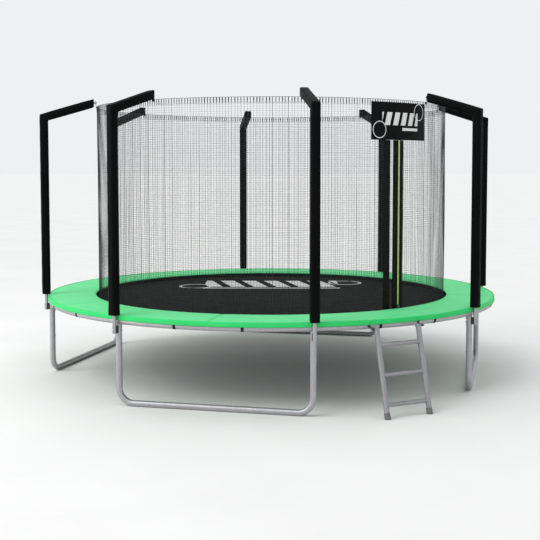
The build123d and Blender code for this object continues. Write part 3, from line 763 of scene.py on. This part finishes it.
def make_stitching():
    """The two rings of sewing on the pad's top."""
    for name, radius in (("inner", PAD_IN + PAD_SEAM), ("outer", PAD_OUT - PAD_SEAM)):
        ring = stitches(f"pad_stitching_{name}", radius, PAD_TOP - 0.0012)
        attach(ring, "frame")


SKIRT_THICKNESS = 0.0016
SKIRT_LAP = 0.0035              # how far it laps over the pad's rim, and hangs clear of it
SKIRT_BEND = 2 * SKIRT_LAP      # radius of the bend over the rim
BINDING_RADIUS = 0.0032


def make_skirt():
    """The sewn edge: it laps over the pad's rim, hangs down and ends in a rolled binding."""
    count = 720
    angles = 2 * pi * np.arange(count) / count
    middle = PAD_OUT + SKIRT_LAP
    bend_z = PAD_TOP - 0.0055
    outline = [(PAD_OUT - SKIRT_LAP, bend_z + SKIRT_BEND)]
    for step in range(1, 7):
        a = radians(90 - 90 * step / 6)
        outline.append((PAD_OUT - SKIRT_LAP + SKIRT_BEND * cos(a), bend_z + SKIRT_BEND * sin(a)))
    drops = np.linspace(PAD_TOP - 0.010, SKIRT_LOW + 0.006, 6)
    outline += [(middle, z) for z in drops]
    line = np.array(outline)
    share = np.clip((PAD_TOP - line[:, 1]) / (PAD_TOP - SKIRT_LOW), 0, 1)
    ripple = 0.0012 * np.sin(angles * 61) + 0.0009 * np.sin(angles * 97 + 1.0)
    radius = line[None, :, 0] + ripple[:, None] * share[None] ** 1.5
    outer = polar(radius + SKIRT_THICKNESS / 2, angles[:, None], line[None, :, 1])
    inner = polar(radius - SKIRT_THICKNESS / 2, angles[:, None], line[None, :, 1] - 0.0004)
    loop = np.concatenate([outer, inner[:, ::-1]], axis=1)
    quads = grid_quads(count, loop.shape[1], wrap_rows=True, wrap_cols=True)
    skirt = add_mesh("pad_skirt", loop.reshape(-1, 3), quads, EDGE_GREEN)
    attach(skirt, "frame")
    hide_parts("pad_skirt")
    centres = polar(radius[:, -1], angles, SKIRT_LOW + 0.0035)
    points, quads, tris = wire(centres, BINDING_RADIUS, 8, closed=True)
    binding = add_mesh("pad_binding", points, quads, EDGE_GREEN, tris)
    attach(binding, "frame")


FOAM_VOXEL = 0.0075
FOAM_PRESSURE = 1.5
FOAM_SWELL = 0.0025             # the most that the cloth may move
FOAM_WAVE = 0.0007
SLEEVE_BORE = 0.022             # points nearer to the pole's axis than this are its bore


def make_sleeves():
    """Eight foam sleeves in a sewn cover, from one filled cover."""
    first_angle = POST_ANGLES[0]
    cover = copy_of("foam_sleeve_1", "foam_sleeve_cover_1", SLEEVE)
    remesh(cover, FOAM_VOXEL)
    swell(cover, FOAM_PRESSURE, sleeve_ends(cover, first_angle), FOAM_SWELL)
    ripple_sleeve(cover, first_angle)
    for i, angle in enumerate(POST_ANGLES):
        if i == 0:
            piece = cover
        else:
            piece = turned_copy(cover, f"foam_sleeve_cover_{i + 1}", angle - first_angle)
        shade_smooth(piece)
        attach(piece, "frame")
        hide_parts(f"foam_sleeve_{i + 1}")


def sleeve_ends(cover, angle):
    """True at the points of a sleeve's two cut ends and of its bore."""
    points = turned(coordinates(cover), -angle)
    low = points[:, 2] < points[:, 2].min() + FOAM_VOXEL
    tip = points[:, 0] < points[:, 0].min() + FOAM_VOXEL
    post = points_of("lower_poles")
    outer = np.hypot(post[:, 0], post[:, 1])
    centre = (outer.min() + outer.max()) / 2
    bore = np.hypot(points[:, 0] - centre, points[:, 1]) < SLEEVE_BORE
    return low | tip | bore


def ripple_sleeve(cover, angle):
    """Faint waves in the cover, so that the light breaks on it."""
    points = coordinates(cover)
    local = turned(points, -angle)
    wave = np.sin(local[:, 2] * 37) * np.sin(local[:, 1] * 60 + 1.3) * FOAM_WAVE
    out = np.stack([np.full(len(points), cos(angle)), np.full(len(points), sin(angle)), 0 * wave], -1)
    set_coordinates(cover, points + out * wave[:, None])


# --- mat, edge and springs ----------------------------------------------------


def blend_wedge(piece):
    """Bakes the piece's placement into its mesh."""
    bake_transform(piece)


def wedge_angles(wedge, steps):
    """Equal steps across a wedge."""
    width = 2 * pi / WEDGES
    return np.linspace(width * wedge, width * (wedge + 1), steps + 1)


def mat_wedge(wedge):
    """One slice of the mat: a thin closed sheet."""
    rings = np.concatenate([np.linspace(0.004, MAT_R - 0.05, 26), [MAT_R - 0.02, MAT_R]])
    angles = wedge_angles(wedge, 8)
    top = polar(rings[:, None], angles[None], MAT_TOP)
    low = polar(rings[:, None], angles[None], MAT_LOW)
    rows, cols = len(rings), len(angles)
    quads_top = grid_quads(rows, cols)
    quads_low = grid_quads(rows, cols)[:, ::-1] + rows * cols
    rim = [(a, a + rows * cols, b + rows * cols, b) for a, b in grid_rim(rows, cols)]
    quads = np.concatenate([quads_top, quads_low, np.array(rim)])
    points = np.concatenate([top.reshape(-1, 3), low.reshape(-1, 3)])
    piece = add_mesh(f"mat_slice_{wedge + 1}", points, quads, MAT_BLACK, smooth=False)
    blend_wedge(piece)
    if wedge == 0:
        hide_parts("jumping_mat")


def mat_edge(wedge):
    """The webbing round the mat, its sewn tabs, and the tapes that hold the net's foot."""
    profile = rounded_box(WEB_IN, WEB_OUT, WEB_LOW, WEB_TOP, 0.0018)
    parts = [swept_arc(profile, wedge_angles(wedge, 12))]
    parts.append(sector_of("webbing_tabs", wedge, WEDGES))
    parts.append(sector_of("net_bottom_straps", wedge, WEDGES))
    points, quads, tris = joined(parts)
    piece = add_mesh(f"mat_edge_{wedge + 1}", points, quads, WEB_BLACK, tris, smooth=False)
    blend_wedge(piece)
    if wedge == 0:
        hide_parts("mat_webbing", "webbing_tabs", "net_bottom_straps")


COIL_WIRE = 0.0017              # radius of the spring wire
COIL_PITCH = 2.06 * COIL_WIRE
OUTER_HOOK = 0.0375             # from the coil to the end of the hook in the ring tube
INNER_HOOK = 0.0215             # from the V-ring to the coil
COIL_RADIUS = (SPRING_TOP - SPRING_LOW) / 2 - COIL_WIRE
STEPS_PER_TURN = 10


def spring_path():
    """One wire: a hook through the ring tube's hole, the coil, and a hook on the V-ring."""
    hook_end = SPRING_OUT - COIL_WIRE
    coil_out = hook_end - OUTER_HOOK
    coil_in = RING_OUT + INNER_HOOK
    turns = int((coil_out - coil_in - 0.012) / COIL_PITCH)
    path = [(hook_end, 0, -0.010), (hook_end, 0, -0.004), (hook_end - 0.003, 0, 0)]
    path.append((coil_out + 0.006, 0, 0))
    t = np.linspace(0, 1, turns * STEPS_PER_TURN)
    angle = 2 * pi * turns * t
    ease = np.clip(np.minimum(t, 1 - t) * turns / 3, 0.12, 1)
    radius = COIL_RADIUS * np.sqrt(ease)
    along = coil_out - (coil_out - coil_in) * t
    path += list(zip(along, radius * np.sin(angle), radius * np.cos(angle)))
    bend = 0.005
    centre = RING_OUT - 0.0055
    path.append((coil_in - 0.006, 0, bend * 0.8))
    path.append((centre + 0.003, 0, bend))
    for step in range(9):
        a = radians(90 + 180 * step / 8)
        path.append((centre + bend * cos(a), 0, bend * sin(a)))
    return np.array(path, float) + (0, 0, MAT_Z)


def spring_wedge(wedge, one):
    """The springs and V-rings of one wedge."""
    points, quads, tris = one
    parts = []
    per_wedge = SPRINGS // WEDGES
    for i in range(per_wedge):
        angle = 2 * pi / SPRINGS * (wedge * per_wedge + i + 0.5)
        parts.append((turned(points, angle), quads, tris))
    parts.append(sector_of("v_rings", wedge, WEDGES))
    points, quads, tris = joined(parts)
    piece = add_mesh(f"springs_{wedge + 1}", points, quads, WIRE, tris)
    blend_wedge(piece)
    if wedge == 0:
        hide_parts("springs", "v_rings")


def make_mat():
    """The mat, its webbing, and the springs, wedge by wedge."""
    one = wire(spring_path(), COIL_WIRE, 5)
    for wedge in range(WEDGES):
        mat_wedge(wedge)
        mat_edge(wedge)
        spring_wedge(wedge, one)


# --- net ----------------------------------------------------------------------


def blend_net(piece):
    """Bakes the piece's placement into its mesh."""
    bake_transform(piece)


def net_radius(angle, z):
    """The net is drawn out to the poles at its top and hangs a little loose between them."""
    up = (z - NET_LOW) / (NET_TOP - NET_LOW)
    pull = 0.004 * np.cos(SECTORS * (angle - POST_ANGLES[0])) * up
    loose = 0.0035 * np.sin(pi * up) * np.sin(5 * angle + 1.1) + 0.002 * np.sin(13 * angle + 4 * up)
    return NET_R - 0.002 + pull + loose * np.sin(pi * np.clip(up, 0, 1))


NET_ACROSS = 0.0262             # spacing of the upright threads
NET_UP = 0.0190                 # spacing of the level threads
UPRIGHT_THREAD = 0.00125        # radius
LEVEL_THREAD = 0.00070
HEAVY_SHARE = 0.10              # of the upright threads
HEAVY = 1.8                     # times as thick as the others
CASING = 0.050                  # depth of the hem with the rope in it
NET_SEED = 7
LEAST_SHARE = 0.3001            # of its outline, the least area that make_net gives for the net


def make_net():
    """The knitted net: upright and level threads, a roped top edge and a taped foot."""
    random = np.random.default_rng(NET_SEED)
    count = int(2 * pi * NET_R / NET_ACROSS)
    angles = 2 * pi * (np.arange(count) + random.uniform(-0.08, 0.08, count)) / count
    heights = np.linspace(NET_LOW + 0.003, NET_TOP - 0.002, 13)
    angle_grid, height_grid = np.meshgrid(angles, heights, indexing="ij")
    centres = polar(net_radius(angle_grid, height_grid), angle_grid, height_grid)
    out = polar(1.0, angle_grid, 0 * angle_grid)
    round_way = polar(1.0, angle_grid + pi / 2, 0 * angle_grid)
    fine = random.uniform(size=count) >= HEAVY_SHARE
    thick = np.where(fine, random.uniform(0.85, 1.10, count), HEAVY)
    upright = bars(centres, out, round_way, UPRIGHT_THREAD * thick[:, None], 3)
    levels = int((NET_TOP - NET_LOW) / NET_UP)
    heights = NET_LOW + 0.010 + NET_UP * np.arange(levels)
    ring = 2 * pi * np.arange(256) / 256
    height_grid, angle_grid = np.meshgrid(heights, ring, indexing="ij")
    height_grid = height_grid + 0.0012 * np.sin(9 * angle_grid + 3 * height_grid)
    centres = polar(net_radius(angle_grid, height_grid), angle_grid, height_grid)
    out = polar(1.0, angle_grid, 0 * angle_grid)
    up = np.broadcast_to((0.0, 0.0, 1.0), centres.shape)
    thick = random.uniform(0.8, 1.25, levels)
    level = bars(centres, out, up, LEVEL_THREAD * thick[:, None], 3, closed=True)
    points, quads, tris = joined([upright, level])
    net = add_mesh("enclosure_net", points, quads, NET_BLACK, tris)
    blend_net(net)
    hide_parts("enclosure_net")
    top = net_top_edge(angles, random)
    foot = net_foot()
    across, high = 2 * pi * NET_R, NET_TOP - NET_LOW
    half_outline = 3 * sqrt(3) / 2      # of a three-sided thread, for a radius of 1
    thread_area = half_outline * (count * high * UPRIGHT_THREAD + levels * across * LEVEL_THREAD)
    return net, [top, foot], max(thread_area, LEAST_SHARE * across * high)


def net_top_edge(angles, random):
    """A rope round the top, held by a short whipped loop at every upright thread."""
    ring = 2 * pi * np.arange(360) / 360
    rope_line = polar(net_radius(ring, NET_TOP - 0.004), ring, NET_TOP - 0.004)
    parts = [wire(rope_line, 0.0020, 6, closed=True)]
    lower = NET_TOP - 0.002 - CASING
    parts.append(wire(polar(net_radius(ring, lower), ring, lower), 0.0011, 4, closed=True))
    heights = np.linspace(NET_TOP - 0.002, lower - 0.001, 5)
    angle_grid, height_grid = np.meshgrid(angles, heights, indexing="ij")
    centres = polar(net_radius(angle_grid, height_grid) + 0.0012, angle_grid, height_grid)
    out = polar(1.0, angle_grid, 0 * angle_grid)
    round_way = polar(1.0, angle_grid + pi / 2, 0 * angle_grid)
    belly = np.array([0.8, 1.1, 1.2, 1.0, 0.5])[None]
    wide = random.uniform(0.0030, 0.0050, len(angles))[:, None] * belly
    parts.append(bars(centres, 0.35 * out, round_way, wide, 6))
    points, quads, tris = joined(parts)
    edge = add_mesh("net_top_edge", points, quads, NET_BLACK, tris)
    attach(edge, "frame")
    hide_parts("net_top_hem")
    return edge


def net_foot():
    """The tape sewn round the net's foot."""
    profile = rounded_box(HEM_IN, HEM_OUT, HEM_LOW, HEM_TOP, 0.0009)
    points, quads, tris = swept_arc(profile, 2 * pi * np.arange(360) / 360, closed_ring=True)
    foot = add_mesh("net_foot_tape", points, quads, NET_TAPE, tris)
    blend_net(foot)
    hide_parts("net_bottom_hem")
    return foot


def door_strip(name, centre, width, r_in, r_out, z_low, z_high):
    """A soft strip on the outside of the net, closed, with rounded long edges."""
    columns = 12
    across = np.linspace(-0.5, 0.5, columns + 1)
    heights = np.linspace(z_low, z_high, 49)
    angle = centre + across[None] * width / r_out
    thin = np.clip((0.5 - abs(across)) / 0.06, 0.25, 1)[None]
    middle = (r_in + r_out) / 2
    half = (r_out - r_in) / 2 * thin
    flutter = 0.0007 * np.sin(heights * 23 + 0.4)[:, None] * np.cos(across * 5)[None]
    outer = polar(middle + half + flutter, angle, heights[:, None])
    inner = polar(middle - half + flutter, angle, heights[:, None])
    loop = np.concatenate([outer, inner[:, ::-1]], axis=1)
    cols = loop.shape[1]
    quads = grid_quads(len(heights), cols, wrap_cols=True)
    caps = []
    for row in (0, len(heights) - 1):
        base = row * cols
        for c in range(columns):
            quad = (base + c, base + cols - 1 - c, base + cols - 2 - c, base + c + 1)
            caps.append(quad if row == 0 else quad[::-1])
    quads = np.concatenate([quads, np.array(caps)])
    strip = add_mesh(name, loop.reshape(-1, 3), quads, ZIP_TAPE)
    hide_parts(name)
    return strip


def make_door():
    """The zip on its tape, the door's edge tape beside it, and the banner above."""
    for name in ("zip_tape", "door_edge_tape"):
        centre, span = arc_of(name)
        width = span * TAPE_OUT
        tape = door_strip(name, centre, width, TAPE_IN, TAPE_OUT, TAPE_LOW, TAPE_TOP)
        blend_net(tape)
    blend_net(zip_coil())
    make_banner()


TOOTH_PITCH = 0.0062
TOOTH_REACH = 0.0060            # from the middle of the zip to a tooth's root
TOOTH_OVERLAP = 0.0018
BAND_SHARE = 0.62               # of the green band in the width of the zip


def zip_coil():
    """Two rows of moulded teeth that mesh in the middle of a green band."""
    centre, span = arc_of("zip_teeth")
    band = rounded_box(TEETH_IN, TEETH_IN + 0.0009, TAPE_LOW + 0.001, TAPE_TOP - 0.001, 0.0003)
    parts = [swept_arc(band, centre + np.linspace(-0.5, 0.5, 7) * BAND_SHARE * span)]
    for i in range(int((TAPE_TOP - TAPE_LOW - 0.004) / TOOTH_PITCH)):
        z = TAPE_LOW + 0.003 + TOOTH_PITCH * i
        side = 1 if i % 2 else -1
        ends = centre + side * np.array([TOOTH_REACH, -TOOTH_OVERLAP]) / TEETH_OUT
        profile = rounded_box(TEETH_IN + 0.0006, TEETH_OUT, z - 0.0013, z + 0.0021, 0.0006, 1)
        parts.append(swept_arc(profile, np.sort(ends)))
    points, quads, tris = joined(parts)
    teeth = add_mesh("zip_coil", points, quads, ZIP_GREEN, tris, smooth=False)
    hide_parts("zip_teeth")
    return teeth


def make_banner():
    """A coated banner with a turned and sewn border, slightly slack between its corners."""
    centre, span = arc_of("door_banner")
    columns, rows = 48, 29
    across = np.linspace(-0.5, 0.5, columns + 1)
    up = np.linspace(-0.5, 0.5, rows)
    height = BANNER_TOP - BANNER_LOW
    width = span * BANNER_OUT
    from_edge = np.minimum((0.5 - abs(across))[None] * width, (0.5 - abs(up))[:, None] * height)
    border = np.where(from_edge < 0.014, 0.0009, 0.0)
    slack = 0.0016 * np.cos(pi * across)[None] * np.sin(2.5 * pi * up + 0.6)[:, None]
    middle = (BANNER_IN + BANNER_OUT) / 2
    angle = centre + across[None] * span + 0 * up[:, None]
    z = (BANNER_LOW + BANNER_TOP) / 2 + up[:, None] * height + 0 * across[None]
    outer = polar(middle + 0.0006 + border + slack, angle, z)
    inner = polar(middle - 0.0006 + slack, angle, z)
    cols = columns + 1
    total = rows * cols
    sides = [(b, a, a + total, b + total) for a, b in grid_rim(rows, cols)]
    front = grid_quads(rows, cols)
    quads = np.concatenate([front, front[:, ::-1] + total, np.array(sides)])
    points = np.concatenate([outer.reshape(-1, 3), inner.reshape(-1, 3)])
    banner = add_mesh("door_banner", points, quads, BANNER)
    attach(banner, "frame")
    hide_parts("door_banner")


# --- stage, light and camera --------------------------------------------------


def make_stage():
    """A pale floor out to the horizon, and an even pale sky."""
    bpy.ops.mesh.primitive_circle_add(vertices=96, radius=400, fill_type="NGON", location=(0, 0, -0.0005))
    floor = bpy.context.object
    floor.name = "floor"
    floor.data.materials.append(floor_paint("floor_paint"))
    world = bpy.data.worlds.new("studio")
    SCENE.world = world
    world.use_nodes = True
    background = world.node_tree.nodes["Background"]
    background.inputs["Color"].default_value = (0.98, 0.99, 1.0, 1)
    background.inputs["Strength"].default_value = 0.88


def aim(light, place, target):
    """Puts a light at a place, pointing at a target."""
    light.location = place
    light.rotation_mode = "QUATERNION"
    light.rotation_quaternion = (Vector(target) - Vector(place)).to_track_quat("-Z", "Y")
    SCENE.collection.objects.link(light)


def make_lights():
    """A broad sun from the front left, and a large soft panel for the gloss on the left sides."""
    sun = bpy.data.lights.new("sun", "SUN")
    sun.energy = 1.0
    sun.angle = radians(35)
    aim(bpy.data.objects.new("sun", sun), (-5.0, -6.0, 9.0), (0, 0, 0))
    panel = bpy.data.lights.new("panel", "AREA")
    panel.shape = "SQUARE"
    panel.size = 4.0
    panel.energy = 260
    aim(bpy.data.objects.new("panel", panel), (-8.0, -5.0, 4.0), (0, 0, 1.0))


CAMERA_AZIMUTH = radians(13.58)  # to the right of straight in front
CAMERA_DISTANCE = 10.04
CAMERA_HEIGHT = 1.97
CAMERA_PITCH = radians(3.94)    # below the horizon
CAMERA_LENS = 67.2
CAMERA_SHIFT = (-0.0025, -0.0585)


def make_camera():
    """The camera, in front of the object and a little above the pad."""
    data = bpy.data.cameras.new("camera")
    data.lens = CAMERA_LENS
    data.sensor_width = 36
    data.shift_x, data.shift_y = CAMERA_SHIFT
    camera = bpy.data.objects.new("camera", data)
    a = CAMERA_AZIMUTH
    camera.location = (CAMERA_DISTANCE * sin(a), -CAMERA_DISTANCE * cos(a), CAMERA_HEIGHT)
    camera.rotation_euler = (pi / 2 - CAMERA_PITCH, 0, a)
    SCENE.collection.objects.link(camera)
    SCENE.camera = camera


make_stage()
make_lights()
make_camera()
SCENE.view_settings.view_transform = "Standard"
paint_cad_nodes()
make_pad()
make_stitching()
make_skirt()
make_sleeves()
make_mat()
net, on_net, thread_area = make_net()
make_door()
